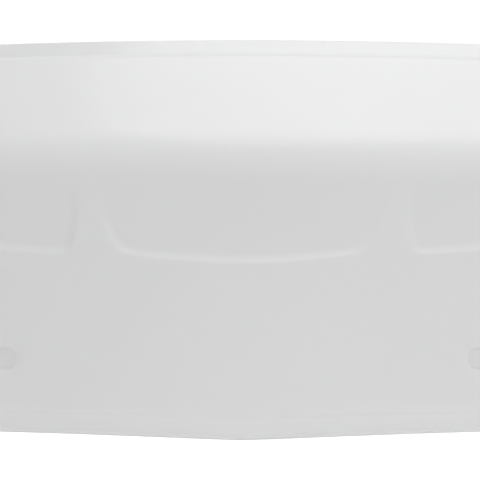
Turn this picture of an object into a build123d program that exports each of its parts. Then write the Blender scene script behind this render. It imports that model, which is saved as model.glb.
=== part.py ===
from build123d import *

import os
from math import cos, radians, sin, tan

# A covered hospital bedpan: a wedge-shaped pan with a lift-out bowl and a lid with a folding handle.
# The pan is low at the back, where it slides under the sacrum, and high at the front. Its seat, shoulder and
# grip panels all follow one sloping plane, the deck, while the base tray and feet are level with the ground.
# The front of the pan faces -Y. All sizes are in millimetres.

os.makedirs("parts", exist_ok=True)

# Overall size and slope
length = 380.0
width = 300.0
deck_slope = 3.6
seat_height = 104.3

# Outline seen from above: four shallow arcs and rounded corners
end_radius = 320.0
side_radius = 420.0
corner_radius = 80.0

# Outer shell, with heights measured from the deck plane's datum
wall = 3.0
shoulder_base = 72.5
shoulder_top = 100.0
shoulder_lean = 33.0
bend_radius = 24.0
shoulder_inset = (shoulder_top - shoulder_base) * tan(radians(shoulder_lean))
flange_inset = 28.0

# Ground line of the skirt: flat, with a shallow chin in the middle of each end
skirt_clearance = 2.0
chin_clearance = 0.3
chin_reach = 60.0
chin_curve = 1.25
lip_height = 6.0
lip_flare = 12.0
lip_step = 0.8

# Grip panels pressed into the wall
grip_depth = 0.7
grip_low = 44.5
grip_top = 64.0
grip_half_width = 37.8
grip_foot = 28.0
grip_foot_height = 46.6
grip_curl = (5.2, 50.2)
grip_ear_height = 61.0
grip_flare = 0.8
side_grip_stretch = 22.0
panel_depth = 0.7
panel_low = 47.5
panel_high = 60.0
panel_start = 41.5
side_panel_start = panel_start + side_grip_stretch

# Snap windows in the lower wall, and the tray's hooks behind them
window_size = (26.0, 5.5)
window_height = 20.3
window_front_x = 70.0
window_side_y = (-58.0, 42.0)
window_corner = 2.4
prism_margin = 5.0
end_prism_depth = 40.0
side_prism_depth = 20.0
hook_clearance = 0.1
hook_recess = 0.05

# Seat
seat_edge_step = 0.45
seat_edge_lean = 30.0
seat_edge_round = 0.35
seat_floor = 96.0
seat_thickness = 3.0
dish_inset = 25.0
dish_lean = 70.0
rib_depth = 5.0
rib_width = 2.5
fit_gap = 0.4
seal_fit = 0.1

# Opening, an egg made from a wide back circle and a narrow front one
egg_back = (15.0, 88.0)
egg_front = (-72.0, 58.0)
ledge_height = 88.0
ledge_overhang = 1.0
recess_reach = 7.5
notch_size = (44.0, 13.0)
notch_corner = 8.0

# Bowl
bowl_rim = 90.5
bowl_flange = 2.5
bowl_flange_reach = 7.0
bowl_wall = 2.5
bowl_bottom = 26.0
bowl_draft = 7.0
bowl_bottom_radius = 16.0

# Lid
seal_thickness = 1.5
seal_reach = (3.0, 6.0)
lid_edge = 2.5
lid_wall = 2.5
lid_crown = 98.0
crown_reach = 1.0
crown_lean = 50.0
plug_inset = (4.0, 6.5)
plug_depth = 8.0
pocket_size = (104.0, 40.0)
pocket_corner = 12.0
pocket_floor = 85.5
pocket_y = -12.0

# Folding handle
handle_size = (96.0, 31.0)
handle_gap = (76.0, 13.0)
handle_thickness = 8.0
handle_corner = 9.0
handle_bottom = 89.0
handle_round = 2.8
pivot_setback = 5.5
pivot_y = pocket_y + handle_size[1] / 2 - pivot_setback
pin_radius = 2.0
pin_fit = 0.05
pin_span = (41.0, 54.5)
pin_chamfer = 0.3
boss_radius = 4.6
boss_depth = 4.5

# Joint seal, tray, feet and screws
joint_groove = (21.0, 23.2)
joint_seal_height = 1.6
tray_inset = 4.5
tray_bottom = 2.5
tray_thickness = 2.5
tray_flange_top = 26.0
rib_top = 7.0
rib_pitch = 50.0
rib_reach = 100.0
long_rib_reach = 130.0
foot_places = [(-90.0, -116.0), (90.0, -116.0), (-90.0, 124.0), (90.0, 124.0)]
foot_radius = 13.0
foot_edge = 0.8
foot_stem_radius = 4.0
foot_barb_radius = 5.0
foot_barb_height = 2.0
foot_barb_taper = 25.0
screw_places = [(-50.0, -133.0), (50.0, -133.0), (-109.0, 10.0), (109.0, 10.0), (-60.0, 118.0), (60.0, 118.0)]
post_radius = 5.5
screw_pad_radius = 7.5
screw_pad_top = 9.0
screw_head = (4.0, 2.4)
screw_head_base = 3.1
screw_shank_radius = 1.9
screw_clearance = 0.5
screw_length = 22.0
screw_socket = (1.6, 1.4)

# The deck plane: its datum meets the ground line at the front, and its back end dips below the ground
slope = radians(deck_slope)
deck_back_shift = -1.2
deck = Plane(
    origin=(0, deck_back_shift, -length / 2 * sin(slope)),
    x_dir=(1, 0, 0),
    z_dir=(0, sin(slope), cos(slope)),
)
deck_axis = Axis(deck.origin, deck.z_dir)
below_ground = -6.0
level_tolerance = 0.01
overshoot = 1.0
pivot_plane = Plane(
    origin=deck.from_local_coords((0, pivot_y, handle_bottom + handle_thickness / 2)),
    x_dir=deck.y_dir,
    z_dir=deck.x_dir,
)
front_wall = Plane(origin=deck.origin, x_dir=(1, 0, 0), z_dir=-deck.y_dir)
side_wall = Plane(origin=deck.origin, x_dir=deck.y_dir, z_dir=deck.x_dir)


def deck_world_z(y, height):
    """World height of the point above world y that lies at the given height over the deck datum."""
    return deck.origin.Z - (y - deck.origin.Y) * tan(slope) + height / cos(slope)


def plan_outline(inset=0.0):
    """The pan's outline from above, moved inward by inset."""
    with BuildSketch() as outline:
        with Locations((0, end_radius - length / 2)):
            Circle(end_radius - inset)
        with Locations((0, length / 2 - end_radius)):
            Circle(end_radius - inset, mode=Mode.INTERSECT)
        with Locations((side_radius - width / 2, 0)):
            Circle(side_radius - inset, mode=Mode.INTERSECT)
        with Locations((width / 2 - side_radius, 0)):
            Circle(side_radius - inset, mode=Mode.INTERSECT)
        fillet(outline.vertices(), corner_radius - inset)
    return outline.sketch


def plan_block(plane, low, low_inset, high, high_inset):
    """A solid between two plan outlines at two heights over a plane."""
    with BuildPart() as block:
        for height, inset in ((low, low_inset), (high, high_inset)):
            with BuildSketch(plane.offset(height)):
                add(plan_outline(inset))
        loft(ruled=True)
    return block.part


def egg(reach=0.0):
    """The opening's outline, moved outward by reach."""
    with BuildSketch() as outline:
        for centre, radius in (egg_back, egg_front):
            with Locations((0, centre)):
                Circle(radius + reach)
        make_hull()
    return outline.sketch


def recess_outline(grow):
    """The recess around the opening with its two finger notches, moved outward by grow."""
    notch_length = 2 * (egg_back[1] + notch_size[1] + grow)
    with BuildSketch() as outline:
        add(egg(recess_reach + grow))
        with Locations((0, egg_back[0])):
            RectangleRounded(notch_length, notch_size[0] + 2 * grow, notch_corner + grow)
    return outline.sketch


def ring(outer, inner):
    """The face between two outlines."""
    with BuildSketch() as face:
        add(outer)
        add(inner, mode=Mode.SUBTRACT)
    return face.sketch


def pan_block(inset, top):
    """The pan's outer form as a solid block, moved inward by inset and cut off at the height top."""
    corner = shoulder_base - inset * tan(radians(shoulder_lean) / 2)
    with BuildPart() as block:
        add(plan_block(deck, below_ground, inset, corner, inset))
        add(plan_block(deck, corner, inset, top, inset + (top - corner) * tan(radians(shoulder_lean))))
        heights = [(deck.to_local_coords(edge.center()).Z, edge) for edge in block.edges()]
        bend = [edge for height, edge in heights if abs(height - corner) < level_tolerance]
        fillet(bend, bend_radius - inset)
    return block.part


def grip_outline(stretch):
    """A grip panel: a shallow smile along the bottom that curls up at both ends."""
    half = grip_half_width + stretch
    foot = grip_foot + stretch
    curl = foot + grip_curl[0]
    end = half + grip_flare
    with BuildSketch() as outline:
        with BuildLine():
            Spline(
                (-end, grip_top),
                (-half, grip_ear_height),
                (-curl, grip_curl[1]),
                (-foot, grip_foot_height),
                (0, grip_low),
                (foot, grip_foot_height),
                (curl, grip_curl[1]),
                (half, grip_ear_height),
                (end, grip_top),
            )
            Line((end, grip_top), (-end, grip_top))
        make_face()
    return outline.sketch


def egg_block(low, low_reach, high, high_reach):
    """A solid between two egg outlines at two heights over the deck's datum."""
    with BuildPart() as block:
        for height, reach in ((low, low_reach), (high, high_reach)):
            with BuildSketch(deck.offset(height)):
                add(egg(reach))
        loft(ruled=True)
    return block.part


def deck_flat_edge(edge):
    """True for an edge that lies in a plane parallel to the deck."""
    heights = [deck.to_local_coords(edge.position_at(t)).Z for t in (0.0, 0.5, 1.0)]
    return max(heights) - min(heights) < level_tolerance


def below_skirt():
    """Everything under the skirt's lower edge, as one prism along Y."""
    with BuildPart() as under:
        with BuildSketch(Plane.XZ):
            with BuildLine():
                Polyline(
                    (chin_reach, skirt_clearance),
                    (width, skirt_clearance),
                    (width, -length),
                    (-width, -length),
                    (-width, skirt_clearance),
                    (-chin_reach, skirt_clearance),
                )
                Spline(
                    (-chin_reach, skirt_clearance),
                    (-chin_reach / 4, chin_curve),
                    (0, chin_clearance),
                    (chin_reach / 4, chin_curve),
                    (chin_reach, skirt_clearance),
                )
            make_face()
        extrude(amount=length, both=True)
    return under.part


def window_prisms(shrink):
    """Prisms through the wall at every snap window, each side smaller by shrink."""
    size = (window_size[0] - 2 * shrink, window_size[1] - 2 * shrink)
    corner = window_corner - shrink / 2
    with BuildPart() as prisms:
        with BuildSketch(Plane.XZ.offset(length / 2 + prism_margin)):
            with Locations((-window_front_x, window_height), (window_front_x, window_height)):
                RectangleRounded(*size, corner)
        extrude(amount=-end_prism_depth)
        with BuildSketch(Plane.YZ.offset(-width / 2 - prism_margin)):
            with Locations(*[(y, window_height) for y in window_side_y]):
                RectangleRounded(*size, corner)
        extrude(amount=side_prism_depth)
        with BuildSketch(Plane.YZ.offset(width / 2 + prism_margin)):
            with Locations(*[(y, window_height) for y in window_side_y]):
                RectangleRounded(*size, corner)
        extrude(amount=-side_prism_depth)
    return prisms.part


def grip_cutter():
    """Thin cutter for the four grip panels: what lies outside the wall moved inward by the panels' depth."""
    with BuildPart() as cutter:
        with BuildSketch(front_wall):
            add(grip_outline(0.0))
        extrude(amount=length, both=True)
        with BuildSketch(side_wall):
            add(grip_outline(side_grip_stretch))
        extrude(amount=width, both=True)
        add(pan_block(grip_depth, shoulder_top + overshoot), mode=Mode.SUBTRACT)
    return cutter.part


def corner_panel_cutter():
    """Thin cutter for the panels that wrap the four corners, between the end grips and the side grips."""
    with BuildPart() as cutter:
        with BuildSketch(deck.offset(panel_low)):
            add(plan_outline(-overshoot))
        extrude(amount=panel_high - panel_low)
        add(pan_block(panel_depth, shoulder_top + overshoot), mode=Mode.SUBTRACT)
        with BuildSketch(deck.offset(panel_low - overshoot)):
            Rectangle(2 * panel_start, 2 * length)
            Rectangle(2 * width, 2 * side_panel_start)
        extrude(amount=panel_high - panel_low + 2 * overshoot, mode=Mode.SUBTRACT)
    return cutter.part


# Outer shell: flared lip, wall, rounded shoulder and an inward flange that carries the seat
with BuildPart() as pan_shell:
    add(pan_block(0.0, shoulder_top))
    add(plan_block(Plane.XY, 0, -lip_step - lip_height * tan(radians(lip_flare)), lip_height, -lip_step))
    add(pan_block(wall, shoulder_top - wall), mode=Mode.SUBTRACT)
    with BuildSketch(deck.offset(shoulder_top + overshoot)):
        add(plan_outline(flange_inset))
    extrude(amount=-2 * wall, mode=Mode.SUBTRACT)
    add(grip_cutter(), mode=Mode.SUBTRACT)
    add(corner_panel_cutter(), mode=Mode.SUBTRACT)
    add(window_prisms(0.0), mode=Mode.SUBTRACT)
    add(below_skirt(), mode=Mode.SUBTRACT)
pan_shell.part.label = "pan_shell"

# Seat: raised rim, dished floor, collar and ledge around the opening, and the posts that take the screws
with BuildPart() as seat_top:
    seat_edge_inset = shoulder_inset + seat_edge_step
    seat_underside = seat_floor - seat_thickness
    seat_rim_inset = seat_edge_inset + (seat_height - shoulder_top) * tan(radians(seat_edge_lean))
    add(plan_block(deck, shoulder_top, seat_edge_inset, seat_height, seat_rim_inset))
    fillet(seat_top.faces().sort_by(Axis.Z)[-1].outer_wire().edges(), seat_edge_round)
    with BuildSketch(deck.offset(seat_underside)):
        add(plan_outline(flange_inset + fit_gap))
    extrude(amount=shoulder_top - seat_underside)
    with BuildSketch(deck.offset(seat_underside - rib_depth)):
        add(ring(plan_outline(flange_inset + fit_gap), plan_outline(flange_inset + fit_gap + rib_width)))
    extrude(amount=rib_depth)
    dish_floor_inset = dish_inset + (seat_height - seat_floor) * tan(radians(dish_lean))
    add(plan_block(deck, seat_floor, dish_floor_inset, seat_height, dish_inset), mode=Mode.SUBTRACT)
    with BuildSketch(deck.offset(ledge_height - wall)):
        add(recess_outline(wall))
    extrude(amount=seat_floor - ledge_height + wall)
    for x, y in screw_places:
        with BuildSketch(Plane.XY.offset(screw_pad_top)):
            with Locations((x, y)):
                Circle(post_radius)
        extrude(amount=deck_world_z(y, seat_underside + overshoot) - screw_pad_top)
    with BuildSketch(deck.offset(ledge_height)):
        add(recess_outline(0.0))
    extrude(amount=seat_height - ledge_height, mode=Mode.SUBTRACT)
    with BuildSketch(deck.offset(ledge_height + overshoot)):
        add(egg(ledge_overhang))
    extrude(amount=-wall - 2 * overshoot, mode=Mode.SUBTRACT)
    with BuildSketch(deck.offset(shoulder_top)):
        add(ring(plan_outline(joint_groove[0]), plan_outline(joint_groove[1])))
    extrude(amount=joint_seal_height, mode=Mode.SUBTRACT)
    with BuildSketch(Plane.XY.offset(screw_pad_top)):
        with Locations(*screw_places):
            Circle(screw_shank_radius + pin_fit)
    extrude(amount=screw_length, mode=Mode.SUBTRACT)
seat_top.part.label = "seat_top"

# Seal squeezed between the seat and the shell's flange
with BuildPart() as joint_seal:
    with BuildSketch(deck.offset(shoulder_top)):
        add(ring(plan_outline(joint_groove[0] + seal_fit), plan_outline(joint_groove[1] - seal_fit)))
    extrude(amount=joint_seal_height)
joint_seal.part.label = "joint_seal"

# Base tray: floor, upright flange with hooks in the snap windows, stiffening ribs and screw pads
with BuildPart() as tray_hooks:
    add(window_prisms(hook_clearance))
    add(pan_block(hook_recess, shoulder_top), mode=Mode.INTERSECT)
    with BuildSketch(Plane.XY):
        add(plan_outline(tray_inset + tray_thickness / 2))
    extrude(amount=shoulder_base, mode=Mode.SUBTRACT)

with BuildPart() as base_tray:
    with BuildSketch(Plane.XY.offset(tray_bottom)):
        add(plan_outline(tray_inset))
    extrude(amount=tray_thickness)
    with BuildSketch(Plane.XY.offset(tray_bottom)):
        add(ring(plan_outline(tray_inset), plan_outline(tray_inset + tray_thickness)))
    extrude(amount=tray_flange_top - tray_bottom)
    with BuildSketch(Plane.XY.offset(tray_bottom)):
        with GridLocations(0, rib_pitch, 1, 5):
            Rectangle(2 * rib_reach, rib_width)
        with GridLocations(rib_pitch, 0, 3, 1):
            Rectangle(rib_width, 2 * long_rib_reach)
        with Locations(*screw_places):
            Circle(screw_pad_radius)
    extrude(amount=rib_top - tray_bottom)
    with BuildSketch(Plane.XY.offset(tray_bottom)):
        with Locations(*screw_places):
            Circle(screw_pad_radius)
    extrude(amount=screw_pad_top - tray_bottom)
    with BuildSketch(Plane.XY.offset(tray_bottom)):
        with Locations(*foot_places):
            Circle(foot_stem_radius + pin_fit)
        with Locations(*screw_places):
            Circle(screw_shank_radius + screw_clearance)
    extrude(amount=screw_pad_top, mode=Mode.SUBTRACT)
    with BuildSketch(Plane.XY.offset(tray_bottom)):
        with Locations(*screw_places):
            Circle(screw_head[0] + screw_clearance)
    extrude(amount=screw_head_base + screw_head[1] - tray_bottom, mode=Mode.SUBTRACT)
    add(tray_hooks.part)
base_tray.part.label = "base_tray"

# Screws driven up through the tray into the seat's posts, with a hexagon socket in each head
with BuildPart() as tray_screws:
    with BuildSketch(Plane.XY.offset(screw_head_base)):
        with Locations(*screw_places):
            Circle(screw_head[0])
    extrude(amount=screw_head[1])
    with BuildSketch(Plane.XY.offset(screw_head_base)):
        with Locations(*screw_places):
            Circle(screw_shank_radius)
    extrude(amount=screw_length)
    with BuildSketch(Plane.XY.offset(screw_head_base)):
        with Locations(*screw_places):
            RegularPolygon(screw_socket[0], 6)
    extrude(amount=screw_socket[1], mode=Mode.SUBTRACT)
tray_screws.part.label = "tray_screws"

# Feet: soft pads with a stem and a barb pushed through the tray's floor
foot_names = ["foot_front_left", "foot_front_right", "foot_back_left", "foot_back_right"]
feet = []
for foot_name, (x, y) in zip(foot_names, foot_places):
    with BuildPart() as foot:
        with BuildSketch(Plane.XY):
            with Locations((x, y)):
                Circle(foot_radius)
        extrude(amount=tray_bottom)
        chamfer(foot.edges().sort_by(Axis.Z)[0], foot_edge)
        with BuildSketch(Plane.XY):
            with Locations((x, y)):
                Circle(foot_stem_radius)
        extrude(amount=tray_bottom + tray_thickness)
        with BuildSketch(Plane.XY.offset(tray_bottom + tray_thickness)):
            with Locations((x, y)):
                Circle(foot_barb_radius)
        extrude(amount=foot_barb_height, taper=foot_barb_taper)
    foot.part.label = foot_name
    feet.append(foot.part)

# Bowl: a drafted basin that hangs by its flange on the seat's ledge
bowl_taper = (bowl_rim - bowl_bottom) * tan(radians(bowl_draft))
with BuildPart() as bowl:
    add(egg_block(bowl_bottom, -bowl_taper, bowl_rim, 0.0))
    fillet(bowl.faces().sort_by(deck_axis)[0].edges(), bowl_bottom_radius)
    with BuildSketch(deck.offset(bowl_rim)):
        add(egg(bowl_flange_reach))
    extrude(amount=-bowl_flange)
with BuildPart() as bowl_hollow:
    add(egg_block(bowl_bottom + bowl_wall, -bowl_wall - bowl_taper, bowl_rim, -bowl_wall))
    fillet(bowl_hollow.faces().sort_by(deck_axis)[0].edges(), bowl_bottom_radius - bowl_wall)
with BuildPart() as bowl_body:
    add(bowl.part)
    add(bowl_hollow.part, mode=Mode.SUBTRACT)
bowl_body.part.label = "bowl"

# Seal carried under the lid's edge
with BuildPart() as lid_seal:
    with BuildSketch(deck.offset(bowl_rim)):
        add(ring(egg(seal_reach[1]), egg(seal_reach[0])))
    extrude(amount=seal_thickness)
lid_seal.part.label = "lid_seal"

# Lid: flat edge, low crown, plug ring that drops into the bowl, and a pocket for the handle
lid_base = bowl_rim + seal_thickness
crown_slope = (lid_crown - lid_base - lid_edge) * tan(radians(crown_lean))
with BuildPart() as lid:
    with BuildSketch(deck.offset(lid_base)):
        add(egg(bowl_flange_reach))
    extrude(amount=lid_edge)
    add(egg_block(lid_base + lid_edge, crown_reach, lid_crown, crown_reach - crown_slope))
    with BuildSketch(deck.offset(lid_base)):
        add(egg(-plug_inset[1]))
    extrude(amount=lid_crown - lid_wall - lid_base, mode=Mode.SUBTRACT)
    with BuildSketch(deck.offset(lid_base - plug_depth)):
        add(ring(egg(-plug_inset[0]), egg(-plug_inset[1])))
    extrude(amount=plug_depth)
    with BuildSketch(deck.offset(pocket_floor - lid_wall)):
        with Locations((0, pocket_y)):
            RectangleRounded(*[side + 2 * lid_wall for side in pocket_size], pocket_corner + lid_wall)
    extrude(amount=lid_crown - pocket_floor)
    with BuildSketch(pivot_plane):
        Circle(boss_radius)
    extrude(amount=pocket_size[0] / 2 + boss_depth, both=True)
    with BuildSketch(deck.offset(pocket_floor)):
        with Locations((0, pocket_y)):
            RectangleRounded(*pocket_size, pocket_corner)
    extrude(amount=lid_crown - pocket_floor + overshoot, mode=Mode.SUBTRACT)
    with BuildSketch(pivot_plane):
        Circle(pin_radius + pin_fit)
    extrude(amount=pin_span[1] + pin_fit, both=True, mode=Mode.SUBTRACT)
lid.part.label = "lid"

# Folding handle: a rounded bar frame that lies in the pocket and stands up on its two pins
with BuildPart() as lid_handle:
    with BuildSketch(deck.offset(handle_bottom)):
        with Locations((0, pocket_y)):
            RectangleRounded(*handle_size, handle_corner)
    extrude(amount=handle_thickness)
    with BuildSketch(deck.offset(handle_bottom)):
        with Locations((0, pocket_y)):
            RectangleRounded(*handle_gap, handle_gap[1] / 2 - 0.5)
    extrude(amount=handle_thickness, mode=Mode.SUBTRACT)
    fillet(lid_handle.edges().filter_by(deck_flat_edge), handle_round)
    for side in (-1, 1):
        with BuildSketch(pivot_plane.offset(side * (pin_span[0] - pin_fit))):
            Circle(pin_radius + pin_fit)
        extrude(amount=side * handle_size[0], mode=Mode.SUBTRACT)
lid_handle.part.label = "lid_handle"

# Pivot pins, one on each side
pins = []
for pin_name, side in (("handle_pin_left", -1), ("handle_pin_right", 1)):
    with BuildPart() as pin:
        with BuildSketch(pivot_plane.offset(side * pin_span[0])):
            Circle(pin_radius)
        extrude(amount=side * (pin_span[1] - pin_span[0]))
        chamfer(pin.edges().filter_by(GeomType.CIRCLE), pin_chamfer)
    pin.part.label = pin_name
    pins.append(pin.part)

pieces = [
    pan_shell.part,
    seat_top.part,
    joint_seal.part,
    base_tray.part,
    tray_screws.part,
    *feet,
    bowl_body.part,
    lid_seal.part,
    lid.part,
    lid_handle.part,
    *pins,
]
for piece in pieces:
    export_step(piece, f"parts/{piece.label}.step")
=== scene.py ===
"""Bedpan: soft-moulded shell, plastics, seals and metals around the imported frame, on a pale studio floor."""

from math import atan2, cos, hypot, pi, radians, sin, sqrt, tan

import bmesh
import bpy
import numpy as np
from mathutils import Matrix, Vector


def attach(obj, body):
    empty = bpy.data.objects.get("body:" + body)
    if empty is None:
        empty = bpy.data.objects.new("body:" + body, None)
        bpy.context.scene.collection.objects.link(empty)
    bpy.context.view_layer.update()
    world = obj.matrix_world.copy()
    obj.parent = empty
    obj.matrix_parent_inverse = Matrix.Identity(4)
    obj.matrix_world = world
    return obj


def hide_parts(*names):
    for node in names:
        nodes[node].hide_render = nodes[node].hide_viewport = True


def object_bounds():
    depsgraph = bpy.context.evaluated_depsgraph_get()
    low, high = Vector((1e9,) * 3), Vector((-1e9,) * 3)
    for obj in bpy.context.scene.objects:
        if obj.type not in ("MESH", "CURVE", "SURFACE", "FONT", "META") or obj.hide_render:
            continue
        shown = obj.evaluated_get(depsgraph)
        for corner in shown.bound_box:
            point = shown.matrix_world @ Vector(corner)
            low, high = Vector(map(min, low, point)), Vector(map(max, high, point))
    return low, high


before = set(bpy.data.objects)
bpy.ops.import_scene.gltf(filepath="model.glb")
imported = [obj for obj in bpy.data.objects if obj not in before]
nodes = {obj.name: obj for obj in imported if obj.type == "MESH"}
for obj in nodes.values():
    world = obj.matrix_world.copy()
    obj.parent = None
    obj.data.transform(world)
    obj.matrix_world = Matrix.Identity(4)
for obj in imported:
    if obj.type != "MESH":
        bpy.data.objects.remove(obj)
cad_low, cad_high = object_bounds()

# The shell's form, in millimetres, as the CAD shell has it
MM = 0.001
LENGTH = 380.0
WIDTH = 300.0
END_RADIUS = 320.0
SIDE_RADIUS = 420.0
CORNER_RADIUS = 80.0
SLOPE = radians(3.6)
DECK_ORIGIN = (-1.2, -LENGTH / 2 * sin(SLOPE))
WALL = 3.0
SHOULDER_BASE = 72.5
SHOULDER_TOP = 100.0
SHOULDER_LEAN = radians(33)
BEND_RADIUS = 24.0
FLANGE_INSET = 28.0
SEAT_STEP = 0.45
BEAD_RISE = 0.45
BEAD_LEAN = (radians(58), radians(30))
LIP_HEIGHT = 5.0
LIP_BULGE = (0.22, 0.2)
LIP_BULGE_SPAN = (-0.1, 0.62)
LIP_ROUND = 1.3
WALL_FLARE = 0.8
FLARE_TOP = 55.0
FLARE_CURVE = 1.6
CREASE_HEIGHT = 7.4
CREASE_DEPTH = 0.08
CREASE_RAMP = 0.35
CREASE_FADE = (12.0, 20.0)
SKIRT = 1.8
CHIN = 0.3
CHIN_REACH = 60.0
CHIN_CURVE = 1.7
CHIN_TIP = 5.0

# Grips, panels and windows
GRIP_DEPTH = 0.7
GRIP_LOW = 44.5
GRIP_HALF = 37.8
GRIP_FOOT = 28.0
GRIP_RISE = 2.1
GRIP_BAND = 30.0
GRIP_RUNOUT = (50.0, 68.0)
SIDE_STRETCH = 22.0

# A grip's curled-up end: the curve's pull at its foot and under its ear, the ear, and where the edge goes on
CURL_LEAVES = (4.5, 0.7)
CURL_ARRIVES = (2.6, 52.5)
EAR_HEIGHT = 62.0
GRIP_ABOVE = (2.0, 76.0)

PANEL_DEPTH = 0.7
PANEL_LOW = 46.9
PANEL_RISE = 1.8
PANEL_RISE_REACH = 30.0
PANEL_START = 41.5
PANEL_LEAN = 1.5
PANEL_LEAN_TOP = 56.0
PANEL_CORNER = 2.5
PANEL_FADE = (51.0, 68.0)
PANEL_END_BAND = 60.0
PANEL_SIDE_BAND = 40.0
LEDGE = 2.2
LEDGE_CURVE = 1.5
WINDOW_SIZE = (26.0, 5.5)
WINDOW_HEIGHT = 20.3
WINDOW_X = 70.0
WINDOW_SIDE_Y = (-58.0, 42.0)
WINDOW_CORNER = 2.4
WINDOW_SNUG = 0.075
DIMPLE_DEPTH = 0.36
DIMPLE_SPAN = (-0.2, 1.5)
CUTTER_OUT = 6.0
CUTTER_IN = 22.0
CUTTER_SIDES = 40
WINDOWS = [("y", x, -1) for x in (-WINDOW_X, WINDOW_X)]
WINDOWS += [("x", y, side) for y in WINDOW_SIDE_Y for side in (-1, 1)]

# Mesh spacing: along each half end as far as a reach, along the rest of the outline, and between rows
END_STEPS = ((24.0, 1.8), (46.0, 0.6), (56.0, 1.4))
WINDOW_STEP = 1.0
CORNER_STEP = 2.0
SIDE_STEP = 2.6
FINE_ROWS = 0.45
GRIP_BAND_TOP = 52.5
OPEN_ROWS = 1.1
SHOULDER_ROW_GAPS = (0.15, 0.5)

# Rows of the wall under the grips: the share of its height that is reached, and the rows up to there
WALL_STRETCHES = ((0.24, 5), (0.76, 26), (1.0, 5))

# Edges sharper than this, in degrees, stay crisp, and a distance of FAR means that nothing is near
SHARP_ANGLE = 32
FAR = 1e9


def smooth(value, low, high):
    """Smooth step from 0 at low to 1 at high."""
    t = np.clip((value - low) / (high - low), 0.0, 1.0)
    return t * t * (3 - 2 * t)


def corner_centre():
    """Centre of the corner circle at +X, -Y, tangent to the end arc and the side arc from inside."""
    end = np.array([0.0, END_RADIUS - LENGTH / 2])
    side = np.array([WIDTH / 2 - SIDE_RADIUS, 0.0])
    a, b = END_RADIUS - CORNER_RADIUS, SIDE_RADIUS - CORNER_RADIUS
    gap = side - end
    d = hypot(*gap)
    along = (a * a - b * b + d * d) / (2 * d)
    off = sqrt(a * a - along * along)
    unit = gap / d
    spots = [end + unit * along + sign * off * np.array([-unit[1], unit[0]]) for sign in (1, -1)]
    return max(spots, key=lambda spot: spot[0] - spot[1])


def outline_columns():
    """Arc centres, radii and normal angles around the pan's outline, starting at the middle of the front."""
    corner = corner_centre()
    end = np.array([0.0, END_RADIUS - LENGTH / 2])
    side = np.array([WIDTH / 2 - SIDE_RADIUS, 0.0])
    front_turn = atan2(*(corner - end)[::-1])
    side_turn = atan2(*(corner - side)[::-1])
    quarter = []
    last_turn = -pi / 2
    for reach, step in END_STEPS:
        turn = reach / END_RADIUS - pi / 2
        quarter.append((end, END_RADIUS, last_turn, turn, step))
        last_turn = turn
    quarter += [
        (end, END_RADIUS, last_turn, front_turn, WINDOW_STEP),
        (corner, CORNER_RADIUS, front_turn, side_turn, CORNER_STEP),
        (side, SIDE_RADIUS, side_turn, 0.0, SIDE_STEP),
    ]
    centres, radii, angles = [], [], []
    for centre, radius, start, stop, step in quarter:
        count = int((stop - start) * radius / step)
        for k in range(count):
            centres.append(centre)
            radii.append(radius)
            angles.append(start + (stop - start) * k / count)
    centres, radii, angles = np.array(centres), np.array(radii), np.array(angles)

    def mirrored(points, turns, flip_x, flip_y):
        flipped = points * [-1 if flip_x else 1, -1 if flip_y else 1]
        turned = np.arctan2(np.sin(turns) * (-1 if flip_y else 1), np.cos(turns) * (-1 if flip_x else 1))
        return flipped, turned

    parts = [(centres, radii, angles)]
    last = (np.array([side]), np.array([SIDE_RADIUS]), np.array([0.0]))
    c, a = mirrored(centres[1:][::-1], angles[1:][::-1], False, True)
    parts += [last, (c, radii[1:][::-1], a)]
    c, a = mirrored(centres[:1], angles[:1], False, True)
    parts += [(c, radii[:1], a)]
    c, a = mirrored(centres[1:], angles[1:], True, True)
    parts += [(c, radii[1:], a)]
    parts += [(last[0] * [-1, 1], last[1], np.array([pi]))]
    c, a = mirrored(centres[1:][::-1], angles[1:][::-1], True, False)
    parts += [(c, radii[1:][::-1], a)]
    return (np.concatenate([part[k] for part in parts]) for k in range(3))


CENTRES, RADII, ANGLES = outline_columns()
NORMALS = np.stack([np.cos(ANGLES), np.sin(ANGLES)], axis=1)
OUTLINE = CENTRES + RADII[:, None] * NORMALS


def on_deck(inset, height):
    """World points, in metres, around the outline, for insets and heights over the deck's datum."""
    inset = np.broadcast_to(inset, RADII.shape)
    height = np.broadcast_to(height, RADII.shape)
    plan = CENTRES + (RADII - inset)[:, None] * NORMALS
    y = DECK_ORIGIN[0] + plan[:, 1] * cos(SLOPE) + height * sin(SLOPE)
    z = DECK_ORIGIN[1] - plan[:, 1] * sin(SLOPE) + height * cos(SLOPE)
    return np.stack([plan[:, 0], y, z], axis=1) * MM


def height_for(world_z):
    """Height over the deck's datum where the outline reaches a world height."""
    return (world_z - DECK_ORIGIN[1] + OUTLINE[:, 1] * sin(SLOPE)) / cos(SLOPE)


def shoulder_inset(height):
    """Inset of the outer surface: upright wall, round bend and leaning shoulder."""
    tangent = BEND_RADIUS * tan(SHOULDER_LEAN / 2)
    start, stop = SHOULDER_BASE - tangent, SHOULDER_BASE + tangent * cos(SHOULDER_LEAN)
    arc = BEND_RADIUS - np.sqrt(np.maximum(BEND_RADIUS**2 - np.clip(height - start, 0, None) ** 2, 0.0))
    lean = (height - SHOULDER_BASE) * tan(SHOULDER_LEAN)
    return np.where(height < start, 0.0, np.where(height < stop, arc, lean))


def at_end(band):
    """True for points of the outline that lie within a distance of the pan's front or back line."""
    return np.abs(OUTLINE[:, 1]) > LENGTH / 2 - band


def at_side(band):
    """True for points of the outline that lie within a distance of the pan's left or right line."""
    return np.abs(OUTLINE[:, 0]) > WIDTH / 2 - band


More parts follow.
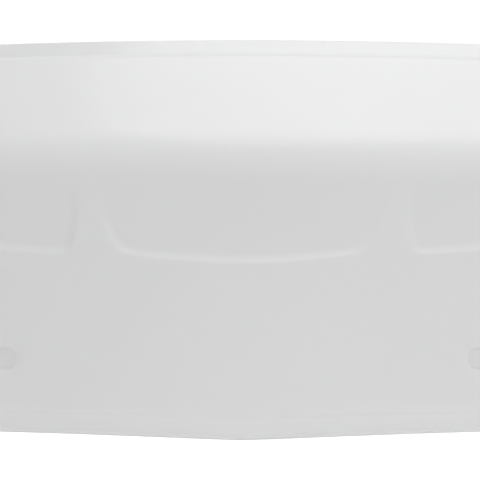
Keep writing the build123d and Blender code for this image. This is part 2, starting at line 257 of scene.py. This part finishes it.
def line_distance(x, h, path):
    """Distance from points to a polyline."""
    best = np.full(x.shape, FAR)
    for (x0, h0), (x1, h1) in zip(path, path[1:]):
        dx, dh = x1 - x0, h1 - h0
        t = np.clip(((x - x0) * dx + (h - h0) * dh) / (dx * dx + dh * dh), 0, 1)
        best = np.minimum(best, np.hypot(x - x0 - t * dx, h - h0 - t * dh))
    return best


def bezier(corners, t):
    """Point at t on the cubic curve with four control points."""
    weights = ((1 - t) ** 3, 3 * (1 - t) ** 2 * t, 3 * (1 - t) * t**2, t**3)
    return tuple(sum(weight * corner[k] for weight, corner in zip(weights, corners)) for k in (0, 1))


def smile(stretch):
    """Lower edge of a grip, from its middle to its curled-up end, as a smooth run of points."""
    foot, half = GRIP_FOOT + stretch, GRIP_HALF + stretch
    flat = [(x, GRIP_LOW + GRIP_RISE * (x / foot) ** 2) for x in np.linspace(0, foot, 12)]
    top = GRIP_LOW + GRIP_RISE
    corners = (
        (foot, top),
        (foot + CURL_LEAVES[0], top + CURL_LEAVES[1]),
        (half - CURL_ARRIVES[0], CURL_ARRIVES[1]),
        (half, EAR_HEIGHT),
    )
    curl = [bezier(corners, t) for t in np.linspace(0, 1, 14)[1:]]
    return flat + curl + [(half + GRIP_ABOVE[0], GRIP_ABOVE[1])]


def ledge_rise(distance):
    """Share of the full depth at a distance inside a pressed edge: crisp at the edge, rounded at the foot."""
    t = np.clip(distance / LEDGE, 0.0, 1.0)
    return 1 - (1 - t) ** LEDGE_CURVE


def pressed(height):
    """Extra inset of the grips and corner panels, around one row of the outline."""
    x, v = np.abs(OUTLINE[:, 0]), np.abs(OUTLINE[:, 1])
    h = np.broadcast_to(height, x.shape)
    depth = np.zeros(x.shape)
    for along, stretch, here in ((x, 0.0, at_end(GRIP_BAND)), (v, SIDE_STRETCH, at_side(GRIP_BAND))):
        path = smile(stretch)
        edge_x, edge_h = np.array(path).T
        inside = here & (h > np.interp(along, edge_x, edge_h, right=FAR))
        rise = ledge_rise(line_distance(along, h, path)) * inside
        depth = np.maximum(depth, GRIP_DEPTH * rise * (1 - smooth(h, *GRIP_RUNOUT)))
    start = PANEL_START + PANEL_LEAN * smooth(h, PANEL_LEAN_TOP, PANEL_LOW)
    past_end = np.where(at_end(PANEL_END_BAND), x - start, FAR)
    past_side = np.where(at_side(PANEL_SIDE_BAND), v - start - SIDE_STRETCH, FAR)
    edge = np.minimum(past_end, past_side)
    edge = np.where(edge == FAR, -1.0, edge)
    low = h - PANEL_LOW - PANEL_RISE * smooth(edge, 0.0, PANEL_RISE_REACH)
    distance = np.where(
        (edge < PANEL_CORNER) & (low < PANEL_CORNER),
        PANEL_CORNER - np.hypot(PANEL_CORNER - edge, PANEL_CORNER - low),
        np.minimum(edge, low),
    )
    rise = ledge_rise(np.clip(distance, 0, None))
    return np.maximum(depth, PANEL_DEPTH * rise * (1 - smooth(h, *PANEL_FADE)))


def dimple(height):
    """Extra inset close around the snap windows, for one row of the outline."""
    world_z = DECK_ORIGIN[1] - OUTLINE[:, 1] * sin(SLOPE) + height * cos(SLOPE)
    depth = np.zeros(len(RADII))
    for axis, along, side in WINDOWS:
        slide, facing = (0, 1) if axis == "y" else (1, 0)
        near = (OUTLINE[:, facing] * side > 0) & (np.abs(OUTLINE[:, slide] - along) < WINDOW_SIZE[0])
        beyond_x = np.abs(OUTLINE[:, slide] - along) - WINDOW_SIZE[0] / 2 + WINDOW_CORNER
        beyond_z = np.abs(world_z - WINDOW_HEIGHT) - WINDOW_SIZE[1] / 2 + WINDOW_CORNER
        distance = np.hypot(np.clip(beyond_x, 0, None), np.clip(beyond_z, 0, None)) - WINDOW_CORNER
        share = 1 - smooth(distance, *DIMPLE_SPAN)
        depth = np.maximum(depth, DIMPLE_DEPTH * share * near)
    return depth


def wall_flare(height, bottom):
    """How far the wall stands out at a height, growing towards its bottom."""
    share = np.clip((FLARE_TOP - height) / (FLARE_TOP - bottom), 0.0, 1.0)
    return WALL_FLARE * share**FLARE_CURVE


def skirt_height():
    """World height of the skirt's lower edge: flat, with a shallow chin in the middle of each end."""
    x = np.hypot(OUTLINE[:, 0], CHIN_TIP) - CHIN_TIP
    share = np.clip(1 - x / CHIN_REACH, 0, 1) ** CHIN_CURVE
    return SKIRT - (SKIRT - CHIN) * np.where(at_end(GRIP_BAND), share, 0.0)


def bead_rows():
    """The shell's rim, from its top at the seat's edge down to the sloped band."""
    foot = shoulder_inset(np.array(SHOULDER_TOP - BEAD_RISE))
    low_run, high_run = tan(BEAD_LEAN[0]), tan(BEAD_LEAN[1])
    rows = []
    for s in np.linspace(1, 0, 7):
        run = 2 * BEAD_RISE * (s * low_run - s * s * (low_run - high_run) / 2)
        rows.append(on_deck(foot + run, SHOULDER_TOP + BEAD_RISE * (2 * s - 1)))
    return rows


def lip_rows(crease, flare):
    """The lip below its crease: it leans out, stands almost upright and rounds under."""
    skirt = skirt_height()
    rows = []
    for t in np.linspace(0, 1, 11)[1:]:
        z = crease + (skirt + LIP_ROUND - crease) * t
        reach = flare + LIP_BULGE[0] * smooth(np.array(t), *LIP_BULGE_SPAN) + LIP_BULGE[1] * t
        rows.append(on_deck(-reach, height_for(z)))
    for t in np.linspace(0, pi / 2, 5)[1:]:
        reach = flare + sum(LIP_BULGE) - LIP_ROUND * (1 - cos(t))
        rows.append(on_deck(-reach, height_for(skirt + LIP_ROUND * (1 - sin(t)))))
    rows.append(on_deck(WALL, height_for(skirt)))
    return rows


def shell_rows():
    """Rings of points that run over the shell's outside, under its lip and back up its inside."""
    bend = BEND_RADIUS * tan(SHOULDER_LEAN / 2)
    bend_low, bend_high = SHOULDER_BASE - bend, SHOULDER_BASE + bend * cos(SHOULDER_LEAN)
    rim = shoulder_inset(np.array(SHOULDER_TOP)) + SEAT_STEP
    rows = [on_deck(FLANGE_INSET, SHOULDER_TOP - WALL), on_deck(FLANGE_INSET, SHOULDER_TOP)]
    rows.append(on_deck(rim + BEAD_RISE, SHOULDER_TOP))
    rows += bead_rows()
    top_gap, bend_gap = SHOULDER_ROW_GAPS
    heights = np.concatenate([
        np.linspace(SHOULDER_TOP - BEAD_RISE - top_gap, bend_high + bend_gap, 6),
        np.linspace(bend_high, bend_low, 18),
        np.arange(bend_low - OPEN_ROWS, GRIP_BAND_TOP, -OPEN_ROWS),
        np.arange(GRIP_BAND_TOP, GRIP_LOW - 1, -FINE_ROWS),
    ])
    lip_top = skirt_height() + LIP_HEIGHT
    wall_bottom = height_for(lip_top)
    for h in heights:
        rows.append(on_deck(shoulder_inset(np.array(h)) + pressed(h) - wall_flare(h, wall_bottom), h))
    fade = smooth(np.abs(OUTLINE[:, 0]), *CREASE_FADE)
    crease_depth = CREASE_DEPTH * np.where(at_end(GRIP_BAND), fade, 1.0)
    low = heights[-1]
    reached = 0.0
    for stop, count in WALL_STRETCHES:
        for t in np.linspace(reached, stop, count + 1)[1:]:
            h = low + (height_for(CREASE_HEIGHT) - low) * t
            rows.append(on_deck(dimple(h) - wall_flare(h, wall_bottom), h))
        reached = stop
    for t in np.linspace(0, 1, 7)[1:]:
        h = height_for(CREASE_HEIGHT + (lip_top - CREASE_HEIGHT) * t)
        step = crease_depth * smooth(np.array(t), 0.0, CREASE_RAMP)
        rows.append(on_deck(-step - wall_flare(h, wall_bottom), h))
    rows += lip_rows(lip_top, WALL_FLARE + crease_depth)
    inner_top = SHOULDER_BASE - WALL * 2
    for t in np.linspace(0, 1, 4)[1:]:
        rows.append(on_deck(WALL, height_for(skirt_height()) * (1 - t) + inner_top * t))
    for h in np.linspace(inner_top, SHOULDER_TOP - WALL, 8)[1:]:
        rows.append(on_deck(WALL + shoulder_inset(np.array(h)), h))
    return rows


def grid_mesh(name, rows):
    """Mesh from equal rings of points, each ring closed, and the last ring joined to the first."""
    points = np.concatenate(rows)
    count = len(rows[0])
    faces = []
    for r in range(len(rows)):
        a, b = r * count, (r + 1) % len(rows) * count
        for k in range(count):
            n = (k + 1) % count
            faces.append((a + k, b + k, b + n, a + n))
    mesh = bpy.data.meshes.new(name)
    mesh.from_pydata(points.tolist(), [], faces)
    mesh.validate()
    obj = bpy.data.objects.new(name, mesh)
    bpy.context.scene.collection.objects.link(obj)
    return obj


def window_cutters():
    """Rounded bars that cut the six snap windows through the wall."""
    half_w, half_h = WINDOW_SIZE[0] / 2 - WINDOW_SNUG, WINDOW_SIZE[1] / 2 - WINDOW_SNUG
    turns = np.linspace(0, 2 * pi, CUTTER_SIDES, endpoint=False)
    quads = []
    verts = []
    for axis, along, side in WINDOWS:
        ring = []
        for t in turns:
            cx = (half_w - WINDOW_CORNER) * (1 if cos(t) > 0 else -1)
            cz = (half_h - WINDOW_CORNER) * (1 if sin(t) > 0 else -1)
            ring.append((cx + WINDOW_CORNER * cos(t), cz + WINDOW_CORNER * sin(t)))
        far = (LENGTH if axis == "y" else WIDTH) / 2
        base = len(verts)
        for depth in (far + CUTTER_OUT, far - CUTTER_IN):
            for a, b in ring:
                spot = (along + a, side * depth) if axis == "y" else (side * depth, along + a)
                verts.append((spot[0] * MM, spot[1] * MM, (WINDOW_HEIGHT + b) * MM))
        n = len(ring)
        quads += [(base + k, base + (k + 1) % n, base + n + (k + 1) % n, base + n + k) for k in range(n)]
        quads += [tuple(base + k for k in reversed(range(n))), tuple(base + n + k for k in range(n))]
    mesh = bpy.data.meshes.new("window_cutters")
    mesh.from_pydata(verts, [], quads)
    obj = bpy.data.objects.new("window_cutters", mesh)
    bpy.context.scene.collection.objects.link(obj)
    return obj


def recalculated(obj):
    """Turns every face of an object outward."""
    work = bmesh.new()
    work.from_mesh(obj.data)
    bmesh.ops.recalc_face_normals(work, faces=work.faces)
    work.to_mesh(obj.data)
    work.free()
    return obj


def smooth_shaded(obj, angle):
    """Smooth shading that stays crisp at edges sharper than an angle."""
    obj.data.shade_smooth()
    obj.data.set_sharp_from_angle(angle=radians(angle))
    return obj


def shell():
    """The shell's mesh, with the windows cut out of it."""
    body = recalculated(grid_mesh("shell_skin", shell_rows()))
    cutter = recalculated(window_cutters())
    cut = body.modifiers.new("windows", "BOOLEAN")
    cut.object = cutter
    cut.solver = "EXACT"
    depsgraph = bpy.context.evaluated_depsgraph_get()
    body_mesh = bpy.data.meshes.new_from_object(body.evaluated_get(depsgraph))
    body.modifiers.clear()
    body.data = body_mesh
    bpy.data.objects.remove(cutter)
    return smooth_shaded(body, SHARP_ANGLE)


# Plastics: noise scales per metre with their detail, the drift of roughness, and the grain's depth in metres
COAT_ROUGHNESS = 0.12
PLASTIC_IOR = 1.49
NOISE_SPAN = (0.3, 0.7)
CLOUD_NOISE = (9.0, 3.0)
DRIFT_NOISE = (26.0, 4.0)
GRAIN_DETAIL = 2.0
ROUGHNESS_DRIFT = 0.04
GRAIN_DEPTH = 0.0002


def plastic(name, colour, roughness, grain, bump, coat=0.0, cloud=0.012):
    """Moulded plastic: even colour with faint clouding, fine grain and slight roughness drift."""
    material = bpy.data.materials.new(name)
    material.use_nodes = True
    tree = material.node_tree
    shader = tree.nodes["Principled BSDF"]
    shader.inputs["Coat Weight"].default_value = coat
    shader.inputs["Coat Roughness"].default_value = COAT_ROUGHNESS
    shader.inputs["IOR"].default_value = PLASTIC_IOR
    place = tree.nodes.new("ShaderNodeTexCoord")

    def noise(scale, detail):
        node = tree.nodes.new("ShaderNodeTexNoise")
        node.inputs["Scale"].default_value = scale
        node.inputs["Detail"].default_value = detail
        tree.links.new(place.outputs["Object"], node.inputs["Vector"])
        return node.outputs["Fac"]

    def ramp(source, low, high):
        node = tree.nodes.new("ShaderNodeMapRange")
        node.inputs["From Min"].default_value = NOISE_SPAN[0]
        node.inputs["From Max"].default_value = NOISE_SPAN[1]
        node.inputs["To Min"].default_value = low
        node.inputs["To Max"].default_value = high
        tree.links.new(source, node.inputs["Value"])
        return node.outputs["Result"]

    tint = tree.nodes.new("ShaderNodeMix")
    tint.data_type = "RGBA"
    tint.inputs["A"].default_value = (*[c * (1 - cloud) for c in colour], 1)
    tint.inputs["B"].default_value = (*[min(c * (1 + cloud), 1) for c in colour], 1)
    tree.links.new(ramp(noise(*CLOUD_NOISE), 0.0, 1.0), tint.inputs["Factor"])
    tree.links.new(tint.outputs["Result"], shader.inputs["Base Color"])
    drift = ramp(noise(*DRIFT_NOISE), roughness - ROUGHNESS_DRIFT, roughness + ROUGHNESS_DRIFT)
    tree.links.new(drift, shader.inputs["Roughness"])
    relief = tree.nodes.new("ShaderNodeBump")
    relief.inputs["Strength"].default_value = bump
    relief.inputs["Distance"].default_value = GRAIN_DEPTH
    tree.links.new(noise(grain, GRAIN_DETAIL), relief.inputs["Height"])
    tree.links.new(relief.outputs["Normal"], shader.inputs["Normal"])
    return material


def metal(name, colour, roughness):
    """Turned steel with fine brushing."""
    material = plastic(name, colour, roughness, 900.0, 0.25, cloud=0.05)
    material.node_tree.nodes["Principled BSDF"].inputs["Metallic"].default_value = 1.0
    return material


shell_white = plastic("shell_white_plastic", (0.86, 0.862, 0.865), 0.42, 700.0, 0.10, coat=0.15)
seat_white = plastic("seat_white_plastic", (0.835, 0.838, 0.842), 0.34, 600.0, 0.08, coat=0.25)
lid_white = plastic("lid_white_plastic", (0.835, 0.838, 0.842), 0.34, 600.0, 0.08, coat=0.25)
handle_white = plastic("handle_white_plastic", (0.83, 0.832, 0.835), 0.38, 900.0, 0.12, coat=0.15)
bowl_white = plastic("bowl_white_plastic", (0.84, 0.85, 0.855), 0.26, 300.0, 0.05, coat=0.4)
tray_white = plastic("tray_white_plastic", (0.84, 0.842, 0.845), 0.5, 1500.0, 0.35)
seal_grey = plastic("seal_grey_rubber", (0.50, 0.51, 0.52), 0.75, 1800.0, 0.4, cloud=0.05)
foot_grey = plastic("foot_grey_rubber", (0.20, 0.205, 0.21), 0.8, 1600.0, 0.5, cloud=0.08)
screw_steel = metal("screw_steel_metal", (0.62, 0.63, 0.64), 0.34)
pin_steel = metal("pin_steel_metal", (0.70, 0.71, 0.72), 0.22)


def dress(node, material):
    """Gives a CAD node a material in every slot."""
    obj = nodes[node]
    if not obj.data.materials:
        obj.data.materials.append(material)
    for k in range(len(obj.material_slots)):
        obj.material_slots[k].material = material


for node_name, node_material in (
    ("seat_top", seat_white),
    ("joint_seal", seal_grey),
    ("base_tray", tray_white),
    ("tray_screws", screw_steel),
    ("foot_front_left", foot_grey),
    ("foot_front_right", foot_grey),
    ("foot_back_left", foot_grey),
    ("foot_back_right", foot_grey),
    ("bowl", bowl_white),
    ("lid", lid_white),
    ("lid_seal", seal_grey),
    ("lid_handle", handle_white),
    ("handle_pin_left", pin_steel),
    ("handle_pin_right", pin_steel),
):
    dress(node_name, node_material)

skin = shell()
skin.data.materials.clear()
skin.data.materials.append(shell_white)
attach(skin, "pan")
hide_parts("pan_shell")

# Studio: a bright floor and backdrop, soft light from above, a little from the right
FLOOR_HALF = 4.0
FLOOR_DROP = 0.0002
FLOOR_COLOUR = (0.93, 0.93, 0.93, 1)
FLOOR_ROUGHNESS = 0.9
FLOOR_GLOW = 0.95
FLOOR_BOUNCE = 0.10
WORLD_SEEN = 1.05
WORLD_LIGHT = 0.425
WORLD_LEFT = 0.86
OVERHEAD_PLACE = (0.22, -0.42, 1.6)
OVERHEAD_SIZE = 1.2
OVERHEAD_POWER = 14.3
SIDE_PLACE = (1.5, -0.8, 1.2)
SIDE_SIZE = 0.9
SIDE_POWER = 0.3


def studio_floor():
    """Pale floor that keeps its brightness in the object's shadow and lets a view from below through."""
    corners = [(-1, -1), (1, -1), (1, 1), (-1, 1)]
    mesh = bpy.data.meshes.new("studio_floor")
    mesh.from_pydata([(x * FLOOR_HALF, y * FLOOR_HALF, -FLOOR_DROP) for x, y in corners], [], [(0, 1, 2, 3)])
    floor = bpy.data.objects.new("studio_floor", mesh)
    bpy.context.scene.collection.objects.link(floor)
    paint = bpy.data.materials.new("floor_paint")
    paint.use_nodes = True
    tree = paint.node_tree
    shader = tree.nodes["Principled BSDF"]
    shader.inputs["Base Color"].default_value = FLOOR_COLOUR
    shader.inputs["Roughness"].default_value = FLOOR_ROUGHNESS
    shader.inputs["Emission Color"].default_value = (1, 1, 1, 1)
    rays = tree.nodes.new("ShaderNodeLightPath")
    glow = tree.nodes.new("ShaderNodeMath")
    glow.operation = "MULTIPLY_ADD"
    glow.inputs[1].default_value = FLOOR_GLOW
    glow.inputs[2].default_value = FLOOR_BOUNCE
    tree.links.new(rays.outputs["Is Camera Ray"], glow.inputs[0])
    tree.links.new(glow.outputs["Value"], shader.inputs["Emission Strength"])
    side = tree.nodes.new("ShaderNodeNewGeometry")
    clear = tree.nodes.new("ShaderNodeBsdfTransparent")
    either = tree.nodes.new("ShaderNodeMixShader")
    tree.links.new(side.outputs["Backfacing"], either.inputs["Fac"])
    tree.links.new(shader.outputs["BSDF"], either.inputs[1])
    tree.links.new(clear.outputs["BSDF"], either.inputs[2])
    tree.links.new(either.outputs["Shader"], tree.nodes["Material Output"].inputs["Surface"])
    mesh.materials.append(paint)


def area_light(name, place, target, size, power):
    """Soft square lamp aimed at a target."""
    lamp = bpy.data.lights.new(name, "AREA")
    lamp.size = size
    lamp.energy = power
    obj = bpy.data.objects.new(name, lamp)
    obj.location = place
    obj.rotation_euler = (Vector(target) - Vector(place)).to_track_quat("-Z", "Y").to_euler()
    bpy.context.scene.collection.objects.link(obj)


def studio_world():
    """White surround that lights a little less from the left and looks white to the camera."""
    world = bpy.data.worlds.new("studio_world")
    world.use_nodes = True
    bpy.context.scene.world = world
    sky = world.node_tree
    path = sky.nodes.new("ShaderNodeLightPath")
    blend = sky.nodes.new("ShaderNodeMix")
    aim = sky.nodes.new("ShaderNodeTexCoord")
    split = sky.nodes.new("ShaderNodeSeparateXYZ")
    sky.links.new(aim.outputs["Generated"], split.inputs["Vector"])
    shade = sky.nodes.new("ShaderNodeMapRange")
    shade.inputs["From Min"].default_value = -1.0
    shade.inputs["From Max"].default_value = 0.0
    shade.inputs["To Min"].default_value = WORLD_LIGHT * WORLD_LEFT
    shade.inputs["To Max"].default_value = WORLD_LIGHT
    sky.links.new(split.outputs["X"], shade.inputs["Value"])
    sky.links.new(shade.outputs["Result"], blend.inputs["A"])
    blend.inputs["B"].default_value = WORLD_SEEN
    sky.links.new(path.outputs["Is Camera Ray"], blend.inputs["Factor"])
    sky.links.new(blend.outputs["Result"], sky.nodes["Background"].inputs["Strength"])
    sky.nodes["Background"].inputs["Color"].default_value = (1, 1, 1, 1)


middle = (cad_low + cad_high) / 2
studio_floor()
area_light("overhead_softbox", OVERHEAD_PLACE, middle, OVERHEAD_SIZE, OVERHEAD_POWER)
area_light("right_fill", SIDE_PLACE, middle, SIDE_SIZE, SIDE_POWER)
studio_world()
bpy.context.scene.view_settings.view_transform = "Standard"

# Camera: level with the front wall's middle, looking at it squarely
FRONT_WIDTH = 0.1195
CAMERA_GAP = 0.5
EYE_HEIGHT = 0.0502
CAMERA_X = -0.0005
SENSOR_WIDTH = 36.0
CLIP_START = 0.01
camera_data = bpy.data.cameras.new("photo_camera")
camera_data.sensor_width = SENSOR_WIDTH
camera_data.lens = SENSOR_WIDTH * CAMERA_GAP / FRONT_WIDTH
camera_data.clip_start = CLIP_START
camera = bpy.data.objects.new("photo_camera", camera_data)
camera.location = (CAMERA_X, cad_low.y - CAMERA_GAP, EYE_HEIGHT)
camera.rotation_euler = (radians(90), 0, 0)
bpy.context.scene.collection.objects.link(camera)
bpy.context.scene.camera = camera
